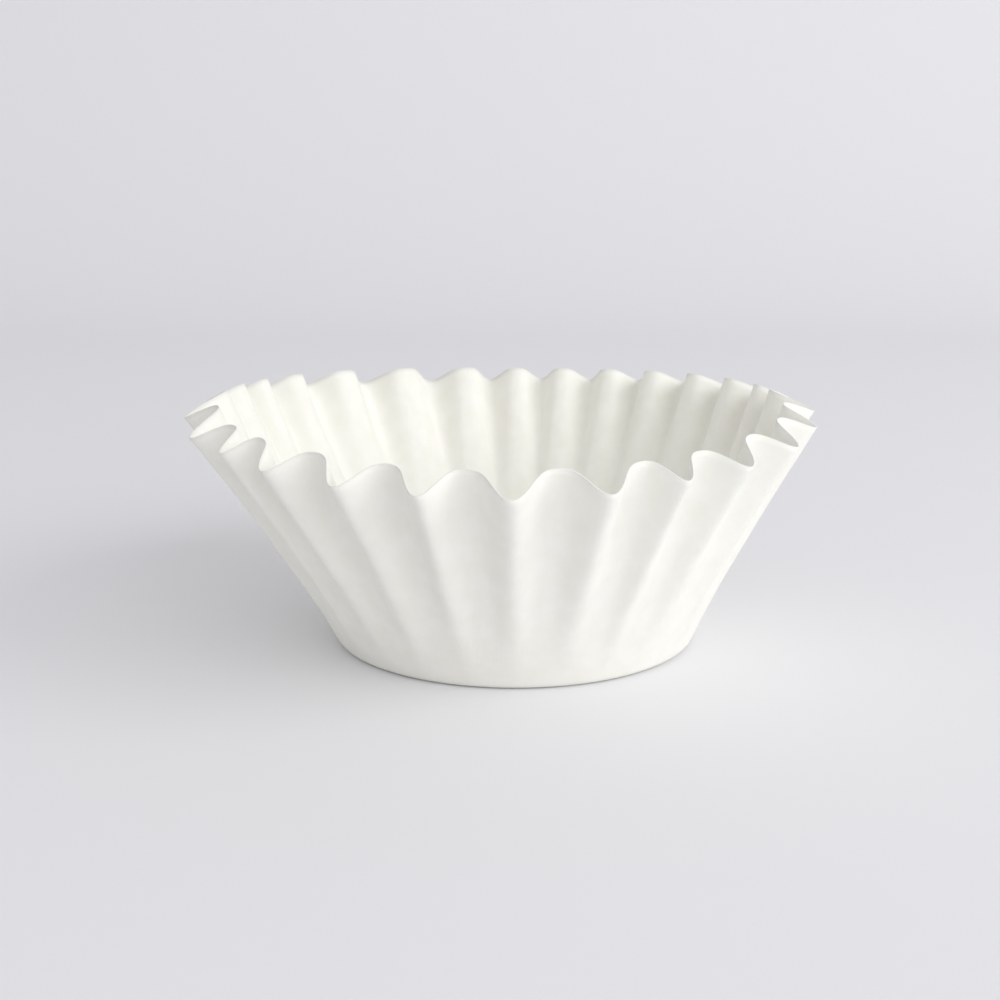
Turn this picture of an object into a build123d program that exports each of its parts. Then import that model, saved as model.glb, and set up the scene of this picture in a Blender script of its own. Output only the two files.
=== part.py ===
from build123d import *
from itertools import accumulate
from math import acos, cos, pi, radians, sin, sqrt, tan
import os

# Basket coffee filter: one round sheet of creped paper, pressed into a cup with a flat
# round base and a fluted wall. Millimetres, +Z up. The origin is the centre of the base,
# on the surface that the filter stands on. -Y is the front and -X the left.

# The flat sheet
paper = 0.2  # thickness of the creped paper
base_diameter = 82.6  # pressed base, to the corner that the crease rounds off
wall_width = 61.0  # paper from that corner to the sheet's edge
base_offset = 1.4  # the base is pressed this far right of the sheet's centre

# The crease between base and wall, on the underside
crease_radius = 3.0

# The mouth: how far the middle of the flutes stands from the base's centre line
mouth_radius = 70.9
mouth_lean = 3.3  # further out on the left, and as much less on the right
mouth_oval = 3.4  # further out at the front and back, and as much less at the sides

# The flutes, counted from the first inward crest to the right of the front. Each one
# runs from crest to crest, with its outward lobe between them.
first_crest = 6.0  # degrees round from the front
flute_widths = [
    14, 11, 15, 16, 16, 21, 10, 13, 13,
    12, 11, 11, 10, 11, 14, 15, 14, 11,
    10, 12, 20, 17, 10, 14, 13, 12, 14,
]  # shares of the full circle: paper never folds evenly
flute_depth = 3.33  # in and out of the mouth, for a flute of average width
flute_fullness = 0.06  # 0 is a plain wave, and more gives steeper flanks
crest_breadth = 0.15  # 0 is even, and more gives broad inward crests and narrow lobes

base_radius = base_diameter / 2
wall_slope = acos((mouth_radius - base_radius) / wall_width)  # mean, from level
degrees_per_share = 360 / sum(flute_widths)
widths = [share * degrees_per_share for share in flute_widths]
crests = [first_crest + turned for turned in accumulate([0] + widths[:-1])]
curves_per_flute = 4
curve_span = 1 / curves_per_flute
nudge = 0.0001  # of a flute, for reading the direction of the edge


def at_angle(angle, radius, height=0):
    """A point at this angle round from the front, in radians."""
    return Vector(radius * sin(angle), -radius * cos(angle), height)


def lower_edge_point(flute, step):
    """A point of the sheet's edge on the underside, step 0 to 1 across the flute.

    Every line up the wall has the whole wall's width of paper, so an inward crest
    stands steeper and higher than an outward lobe.
    """
    width = widths[flute]
    neighbour = widths[flute - 1] if step < 0.5 else widths[(flute + 1) % len(widths)]
    crest_share = cos(pi * step) ** 2
    shared_width = width + crest_share * (neighbour - width) / 2
    depth = flute_depth * sqrt(shared_width * len(widths) / 360)
    wave = crest_breadth * (cos(4 * pi * step) - 1) - cos(2 * pi * step)
    skew = flute_fullness / (2 * pi) * sin(4 * pi * step)
    angle = radians(crests[flute] + width * (step + skew))
    middle = mouth_radius - mouth_lean * sin(angle) + mouth_oval * cos(2 * angle)
    reach = middle + depth * wave - base_radius
    slant = wall_width - base_offset * sin(angle)
    return at_angle(angle, base_radius + reach, sqrt(slant**2 - reach**2))


def upper_edge_point(flute, step):
    """The same point of the edge on the upper side, square through the paper."""
    point = lower_edge_point(flute, step)
    along = lower_edge_point(flute, step + nudge) - lower_edge_point(flute, step - nudge)
    foot = Vector(point.X, point.Y, 0).normalized() * base_radius
    return point + (point - foot).cross(along).normalized() * paper


def edge_curves(edge_point):
    """The sheet's edge on one side, as smooth curves that meet in one direction."""
    curves = []
    for flute in range(len(widths)):
        for place in range(curves_per_flute):
            start, end = place * curve_span, (place + 1) * curve_span
            first, last = edge_point(flute, start), edge_point(flute, end)
            leaving = (edge_point(flute, start + nudge) - first) / nudge
            arriving = (last - edge_point(flute, end - nudge)) / nudge
            handle = curve_span / 3
            with BuildLine() as curve:
                Bezier(first, first + leaving * handle, last - arriving * handle, last)
            curves.append(curve.edge())
    return curves


def base_circle(radius, level):
    """The corner between base and wall on one side, as one arc under each edge curve."""
    with BuildLine(Plane.XY.offset(level)):
        arcs = [
            CenterArc((0, 0), radius, crest - 90 + width * place * curve_span, width * curve_span)
            for crest, width in zip(crests, widths)
            for place in range(curves_per_flute)
        ]
    return arcs


def ruled(corner_curves, edge_curves):
    """Faces of straight lines, each from one curve to the one that it runs to."""
    return [
        Face.make_surface_from_curves(edge1=corner, edge2=edge)
        for corner, edge in zip(corner_curves, edge_curves)
    ]


# Both sides of the sheet, each with its own corner circle and its own edge
lower_edge = edge_curves(lower_edge_point)
upper_edge = edge_curves(upper_edge_point)
lower_corner = base_circle(base_radius, 0)
upper_corner = base_circle(base_radius - paper * tan(wall_slope / 2), paper)

# The sheet is closed by the base's two sides, the wall's two sides and the cut edge
base = [Face(Wire(lower_corner)), Face(Wire(upper_corner))]
wall = ruled(lower_corner, lower_edge) + ruled(upper_corner, upper_edge)
cut_edge = ruled(lower_edge, upper_edge)
sheet = Solid(Shell(base + wall + cut_edge))

with BuildPart() as coffee_filter:
    add(sheet)
    fillet(coffee_filter.edges().group_by(Axis.Z)[1], radius=crease_radius - paper)
    fillet(coffee_filter.edges().group_by(Axis.Z)[0], radius=crease_radius)

coffee_filter.part.label = "coffee_filter"
os.makedirs("parts", exist_ok=True)
export_step(coffee_filter.part, "parts/coffee_filter.step")
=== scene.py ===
import math

import bmesh
import bpy
import numpy as np
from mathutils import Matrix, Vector


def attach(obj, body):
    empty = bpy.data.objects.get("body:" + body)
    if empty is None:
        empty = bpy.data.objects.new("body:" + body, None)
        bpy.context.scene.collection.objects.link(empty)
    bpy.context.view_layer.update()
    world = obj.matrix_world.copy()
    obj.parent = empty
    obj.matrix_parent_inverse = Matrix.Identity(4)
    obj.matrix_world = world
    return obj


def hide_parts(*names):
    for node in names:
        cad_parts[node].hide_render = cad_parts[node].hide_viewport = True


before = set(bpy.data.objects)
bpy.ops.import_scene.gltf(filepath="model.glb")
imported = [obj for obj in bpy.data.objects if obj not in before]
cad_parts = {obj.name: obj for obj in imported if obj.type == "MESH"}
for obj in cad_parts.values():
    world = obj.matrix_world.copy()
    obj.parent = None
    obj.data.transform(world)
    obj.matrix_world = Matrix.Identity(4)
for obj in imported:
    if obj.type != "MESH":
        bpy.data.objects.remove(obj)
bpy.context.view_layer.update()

MM = 0.001

# The pressed sheet in millimetres, the same sizes as the solid's. -Y is the front.
PAPER = 0.2
WALL_WIDTH = 61.0
BASE_OFFSET = 1.4  # the base is pressed this far right of the sheet's centre
BASE_RADIUS = 41.3
CREASE_RADIUS = 3.0
MOUTH_RADIUS = 70.9
MOUTH_LEAN = 3.3
MOUTH_OVAL = 3.4
FIRST_CREST = 6.0  # degrees round from the front
FLUTE_WIDTHS = [
    14, 11, 15, 16, 16, 21, 10, 13, 13,
    12, 11, 11, 10, 11, 14, 15, 14, 11,
    10, 12, 20, 17, 10, 14, 13, 12, 14,
]
FLUTE_DEPTH = 3.33
FLUTE_FULLNESS = 0.06
CREST_BREADTH = 0.15
FLUTE_FADE = 1.6  # 1 is straight lines up the wall, and more lets the flutes start later

# How finely the sheet is divided
LINES_PER_FLUTE = 26
RINGS_IN_BASE = 14
RINGS_IN_CREASE = 8
RINGS_IN_WALL = 40

# How the pressed wall is uneven, in millimetres
UNEVENNESS = 0.7
PATCH_SIZE = 16
STEADY_HEIGHT = 12  # the wall comes free of the flat base by this height

# The paper's grain, in millimetres of the flat sheet. Real crepe is finer, too fine to show,
# so it is drawn coarser.
CREPE_SPACING = 0.6
CREPE_LENGTH = 3
CREPE_HEIGHT = 0.08
CLOUD_SIZE = 5

# Where the camera stands, in millimetres, and how far it looks down, in radians
CAMERA_PLACE = (-3.44, -350, 109.7)
CAMERA_DIP = 0.219
CAMERA_LENS = 55.5
CAMERA_SENSOR = 36


def linear(hex_colour):
    """An sRGB hex colour as the linear RGBA that a shader wants."""
    parts = [int(hex_colour[i:i + 2], 16) / 255 for i in (1, 3, 5)]
    return [c / 12.92 if c <= 0.04045 else ((c + 0.055) / 1.055) ** 2.4 for c in parts] + [1.0]


def node(tree, kind, settings=None, inputs=None):
    """Adds a node. An input takes a socket to link or a constant, by name or by number."""
    made = tree.nodes.new(kind)
    for name, value in (settings or {}).items():
        setattr(made, name, value)
    for name, value in (inputs or {}).items():
        if isinstance(value, bpy.types.NodeSocket):
            tree.links.new(value, made.inputs[name])
        else:
            made.inputs[name].default_value = value
    return made


# The paper's shape

def sheet_edge(flute_depth):
    """The sheet's cut edge, line by line: its points, and the angle of each line's foot."""
    widths = np.array(FLUTE_WIDTHS, float) * 360 / sum(FLUTE_WIDTHS)
    starts = FIRST_CREST + np.concatenate([[0], np.cumsum(widths)[:-1]])
    step = np.arange(LINES_PER_FLUTE) / LINES_PER_FLUTE
    width, start = widths[:, None], starts[:, None]
    neighbour = np.where(step < 0.5, np.roll(widths, 1)[:, None], np.roll(widths, -1)[:, None])
    # where two flutes meet, both are as deep as a flute of their mean width
    shared_width = width + np.cos(np.pi * step) ** 2 * (neighbour - width) / 2
    depth = flute_depth * np.sqrt(shared_width * len(widths) / 360)
    wave = CREST_BREADTH * (np.cos(4 * np.pi * step) - 1) - np.cos(2 * np.pi * step)
    skew = FLUTE_FULLNESS / (2 * np.pi) * np.sin(4 * np.pi * step)
    angle = np.radians(start + width * (step + skew)).ravel()
    middle = MOUTH_RADIUS - MOUTH_LEAN * np.sin(angle) + MOUTH_OVAL * np.cos(2 * angle)
    reach = middle + (depth * wave).ravel() - BASE_RADIUS
    slant = WALL_WIDTH - BASE_OFFSET * np.sin(angle)
    outward = np.stack([np.sin(angle), -np.cos(angle), 0 * angle], 1)
    edge = outward * (BASE_RADIUS + reach)[:, None]
    edge[:, 2] = np.sqrt(slant ** 2 - reach ** 2)
    return edge, np.radians(start + width * step).ravel()


def pressed_sheet():
    """Rings of points from the base's middle to the cut edge, with the flat sheet's places."""
    edge, foot = sheet_edge(FLUTE_DEPTH)
    plain_edge, _ = sheet_edge(0)
    outward = np.stack([np.sin(foot), -np.cos(foot), 0 * foot], 1)
    corner = outward * BASE_RADIUS
    length = np.linalg.norm(plain_edge - corner, axis=1)[:, None]
    up_the_wall = (plain_edge - corner) / length
    slope = np.arccos(np.clip((up_the_wall * outward).sum(1), -1, 1))[:, None]
    cut_back = CREASE_RADIUS * np.tan(slope / 2)
    start, finish = corner - outward * cut_back, corner + up_the_wall * cut_back
    rings = []
    for share in np.linspace(0, 1, RINGS_IN_BASE + 1)[1:]:
        rings.append((start * share, (BASE_RADIUS - cut_back) * share))
    for share in np.linspace(0, 1, RINGS_IN_CREASE + 1)[1:]:
        # a weighted quadratic curve through the corner is an arc
        pull = 2 * share * (1 - share) * np.cos(slope / 2)
        total = (1 - share) ** 2 + pull + share ** 2
        point = ((1 - share) ** 2 * start + pull * corner + share ** 2 * finish) / total
        rings.append((point, BASE_RADIUS + cut_back * (2 * share - 1)))
    for share in np.linspace(0, 1, RINGS_IN_WALL + 1)[1:]:
        along = cut_back + (length - cut_back) * share
        fluted = (edge - plain_edge) * share ** FLUTE_FADE
        rings.append((corner + up_the_wall * along + fluted, BASE_RADIUS + along))
    return rings, outward


def sheet_mesh():
    """The sheet's underside as a mesh. Its UV map is the flat sheet, in metres."""
    rings, outward = pressed_sheet()
    count = len(outward)
    points = np.concatenate([[[0, 0, 0]]] + [point for point, _ in rings]) * MM
    flat = np.concatenate([[[0, 0, 0]]] + [outward * reach for _, reach in rings]) * MM
    faces = [(0, 1 + (i + 1) % count, 1 + i) for i in range(count)]
    for ring in range(len(rings) - 1):
        low, high = 1 + ring * count, 1 + (ring + 1) * count
        for i in range(count):
            after = (i + 1) % count
            faces.append((low + i, low + after, high + after, high + i))
    mesh = bpy.data.meshes.new("pressed_sheet")
    mesh.from_pydata(points.tolist(), [], faces)
    places = mesh.uv_layers.new(name="flat_sheet").data
    for loop in mesh.loops:
        places[loop.index].uv = flat[loop.vertex_index][:2]
    for face in mesh.polygons:
        face.use_smooth = True
    shape = bmesh.new()
    shape.from_mesh(mesh)
    bmesh.ops.recalc_face_normals(shape, faces=shape.faces)
    shape.faces.ensure_lookup_table()
    if shape.faces[0].normal.z > 0:
        bmesh.ops.reverse_faces(shape, faces=shape.faces)
    shape.to_mesh(mesh)
    shape.free()
    return mesh


def unevenness_tree():
    """Nodes that leave the pressed wall slightly uneven, and the base flat."""
    tree = bpy.data.node_groups.new("uneven_paper", "GeometryNodeTree")
    face = tree.interface
    face.new_socket("Sheet", in_out="INPUT", socket_type="NodeSocketGeometry")
    for name in ("Unevenness", "Patch Size", "Steady Height"):
        face.new_socket(name, in_out="INPUT", socket_type="NodeSocketFloat")
    face.new_socket("Seed", in_out="INPUT", socket_type="NodeSocketInt")
    face.new_socket("Paper", in_out="INPUT", socket_type="NodeSocketMaterial")
    face.new_socket("Sheet", in_out="OUTPUT", socket_type="NodeSocketGeometry")
    given = tree.nodes.new("NodeGroupInput").outputs
    place = node(tree, "GeometryNodeInputPosition").outputs[0]
    fineness = node(tree, "ShaderNodeMath", {"operation": "DIVIDE"},
                    {0: 1.0, 1: given["Patch Size"]}).outputs[0]
    patches = node(tree, "ShaderNodeTexNoise", {"noise_dimensions": "4D"},
                   {"Vector": place, "W": given["Seed"], "Scale": fineness, "Detail": 2.0})
    centred = node(tree, "ShaderNodeMath", {"operation": "SUBTRACT"},
                   {0: patches.outputs[0], 1: 0.5}).outputs[0]
    height = node(tree, "ShaderNodeSeparateXYZ", None, {0: place}).outputs["Z"]
    free = node(tree, "ShaderNodeMapRange", {"interpolation_type": "SMOOTHSTEP"},
                {"Value": height, "From Max": given["Steady Height"]}).outputs[0]
    shift = node(tree, "ShaderNodeMath", {"operation": "MULTIPLY"},
                 {0: centred, 1: free}).outputs[0]
    shift = node(tree, "ShaderNodeMath", {"operation": "MULTIPLY"},
                 {0: shift, 1: given["Unevenness"]}).outputs[0]
    square = node(tree, "GeometryNodeInputNormal").outputs[0]
    offset = node(tree, "ShaderNodeVectorMath", {"operation": "SCALE"},
                  {0: square, "Scale": shift}).outputs[0]
    moved = node(tree, "GeometryNodeSetPosition", None,
                 {"Geometry": given["Sheet"], "Offset": offset}).outputs[0]
    real = node(tree, "GeometryNodeRealizeInstances", None, {"Geometry": moved}).outputs[0]
    done = node(tree, "GeometryNodeSetMaterial", None,
                {"Geometry": real, "Material": given["Paper"]}).outputs[0]
    tree.links.new(done, tree.nodes.new("NodeGroupOutput").inputs[0])
    return tree


def make_filter(paper):
    """The whole filter: the pressed sheet, its unevenness and its thickness."""
    piece = bpy.data.objects.new("coffee_filter_sheet", sheet_mesh())
    bpy.context.scene.collection.objects.link(piece)
    uneven = piece.modifiers.new("unevenness", "NODES")
    uneven.node_group = unevenness_tree()
    sizes = {
        "Unevenness": UNEVENNESS * MM,
        "Patch Size": PATCH_SIZE * MM,
        "Steady Height": STEADY_HEIGHT * MM,
        "Seed": 7,
        "Paper": paper,
    }
    for socket in uneven.node_group.interface.items_tree:
        if socket.in_out == "INPUT" and socket.name in sizes:
            uneven[socket.identifier] = sizes[socket.name]
    thickness = piece.modifiers.new("thickness", "SOLIDIFY")
    thickness.thickness = PAPER * MM
    thickness.offset = -1
    finished = piece.evaluated_get(bpy.context.evaluated_depsgraph_get())
    mesh = bpy.data.meshes.new_from_object(finished)
    piece.modifiers.clear()
    piece.data = mesh
    return piece


def filter_paper():
    """Bleached softwood pulp, creped and unsized: dead matt, soft white, finely wrinkled."""
    material = bpy.data.materials.new("bleached_crepe_paper")
    material.use_nodes = True
    tree = material.node_tree
    shader = tree.nodes["Principled BSDF"]
    shader.inputs["Roughness"].default_value = 0.95
    shader.inputs["IOR"].default_value = 1.47  # cellulose, but its fibres scatter the gloss
    shader.inputs["Specular IOR Level"].default_value = 0.12
    shader.inputs["Sheen Weight"].default_value = 0.05  # loose fibre ends
    shader.inputs["Sheen Roughness"].default_value = 0.6
    sheet = node(tree, "ShaderNodeUVMap", {"uv_map": "flat_sheet"}).outputs["UV"]
    # crepe wrinkles run across the web that the sheet is cut from
    grain = (1 / (CREPE_SPACING * MM), 1 / (CREPE_LENGTH * MM), 1.0)
    across = node(tree, "ShaderNodeMapping", None, {"Vector": sheet, "Scale": grain}).outputs[0]
    crepe = node(tree, "ShaderNodeTexNoise", {"noise_dimensions": "2D"},
                 {"Vector": across, "Scale": 1.0, "Detail": 3.0, "Distortion": 0.4})
    # pulp gathers in faint clouds
    cloud = node(tree, "ShaderNodeTexNoise", {"noise_dimensions": "2D"},
                 {"Vector": sheet, "Scale": 1 / (CLOUD_SIZE * MM), "Detail": 3.0})
    tint = node(tree, "ShaderNodeValToRGB", None, {"Fac": cloud.outputs[0]})
    tint.color_ramp.elements[0].position = 0.3
    tint.color_ramp.elements[0].color = linear("#F4F3EB")
    tint.color_ramp.elements[1].position = 0.7
    tint.color_ramp.elements[1].color = linear("#F7F6F0")
    tree.links.new(tint.outputs["Color"], shader.inputs["Base Color"])
    wrinkled = node(tree, "ShaderNodeBump", None,
                    {"Height": crepe.outputs[0], "Strength": 0.35,
                     "Distance": CREPE_HEIGHT * MM})
    tree.links.new(wrinkled.outputs["Normal"], shader.inputs["Normal"])
    return material


filter_sheet = make_filter(filter_paper())
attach(filter_sheet, "root")
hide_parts("coffee_filter")


# Stage, lights and camera

def make_stage():
    """A pale table that sweeps up into the backdrop."""
    front, bend, radius, top, side = -9.0, 0.6, 0.4, 3.0, 6.0  # metres
    steps = 12
    profile = [(front, 0.0), (bend, 0.0)]
    for i in range(1, steps + 1):
        turn = math.radians(90 * i / steps)
        profile.append((bend + radius * math.sin(turn), radius - radius * math.cos(turn)))
    profile.append((bend + radius, top))
    points = [(x, y, z) for y, z in profile for x in (-side, side)]
    faces = [(2 * i, 2 * i + 1, 2 * i + 3, 2 * i + 2) for i in range(len(profile) - 1)]
    mesh = bpy.data.meshes.new("table_sweep")
    mesh.from_pydata(points, [], faces)
    for face in mesh.polygons:
        face.use_smooth = True
    stage = bpy.data.objects.new("table_sweep", mesh)
    bpy.context.scene.collection.objects.link(stage)
    # matt white paint, which shows soft shadows and no reflection
    material = bpy.data.materials.new("painted_table")
    material.use_nodes = True
    shader = material.node_tree.nodes["Principled BSDF"]
    shader.inputs["Base Color"].default_value = linear("#ECECEE")
    shader.inputs["Roughness"].default_value = 0.8
    shader.inputs["Specular IOR Level"].default_value = 0.1
    mesh.materials.append(material)


def area_light(name, place, aim, size, power, colour):
    """A round, soft lamp that faces a point."""
    data = bpy.data.lights.new(name, "AREA")
    data.shape = "DISK"
    data.size = size
    data.energy = power
    data.color = linear(colour)[:3]
    lamp = bpy.data.objects.new(name, data)
    lamp.location = place
    lamp.rotation_euler = (Vector(aim) - Vector(place)).to_track_quat("-Z", "Y").to_euler()
    bpy.context.scene.collection.objects.link(lamp)


make_stage()
area_light("window", (1.1, -0.45, 0.65), (0, 0, 0.03), 0.9, 5.1, "#FFFFFF")
area_light("room", (1.2, -2.0, 1.0), (0, 0, 0.03), 1.9, 18.0, "#FAFBFF")

world = bpy.data.worlds.new("studio")
world.use_nodes = True
light = world.node_tree.nodes["Background"]
light.inputs["Color"].default_value = linear("#F3F3F4")
light.inputs["Strength"].default_value = 0.72
# past the table's end, and in any reflection, there is a plain pale wall, which lights nothing
wall = node(world.node_tree, "ShaderNodeBackground", None,
            {"Color": linear("#E0E0E4"), "Strength": 1.0}).outputs[0]
rays = node(world.node_tree, "ShaderNodeLightPath").outputs
direct = node(world.node_tree, "ShaderNodeMath", {"operation": "MAXIMUM"},
              {0: rays["Is Camera Ray"], 1: rays["Is Glossy Ray"]}).outputs[0]
seen = node(world.node_tree, "ShaderNodeMath", {"operation": "MAXIMUM"},
            {0: direct, 1: rays["Is Transmission Ray"]}).outputs[0]
either = node(world.node_tree, "ShaderNodeMixShader", None,
              {0: seen, 1: light.outputs[0], 2: wall}).outputs[0]
world.node_tree.links.new(either, world.node_tree.nodes["World Output"].inputs["Surface"])
bpy.context.scene.world = world

camera_data = bpy.data.cameras.new("camera")
camera_data.sensor_width = CAMERA_SENSOR
camera_data.lens = CAMERA_LENS
camera = bpy.data.objects.new("camera", camera_data)
camera.location = Vector(CAMERA_PLACE) * MM
camera.rotation_euler = (math.radians(90) - CAMERA_DIP, 0, 0)
bpy.context.scene.collection.objects.link(camera)
bpy.context.scene.camera = camera
bpy.context.scene.view_settings.view_transform = "Standard"
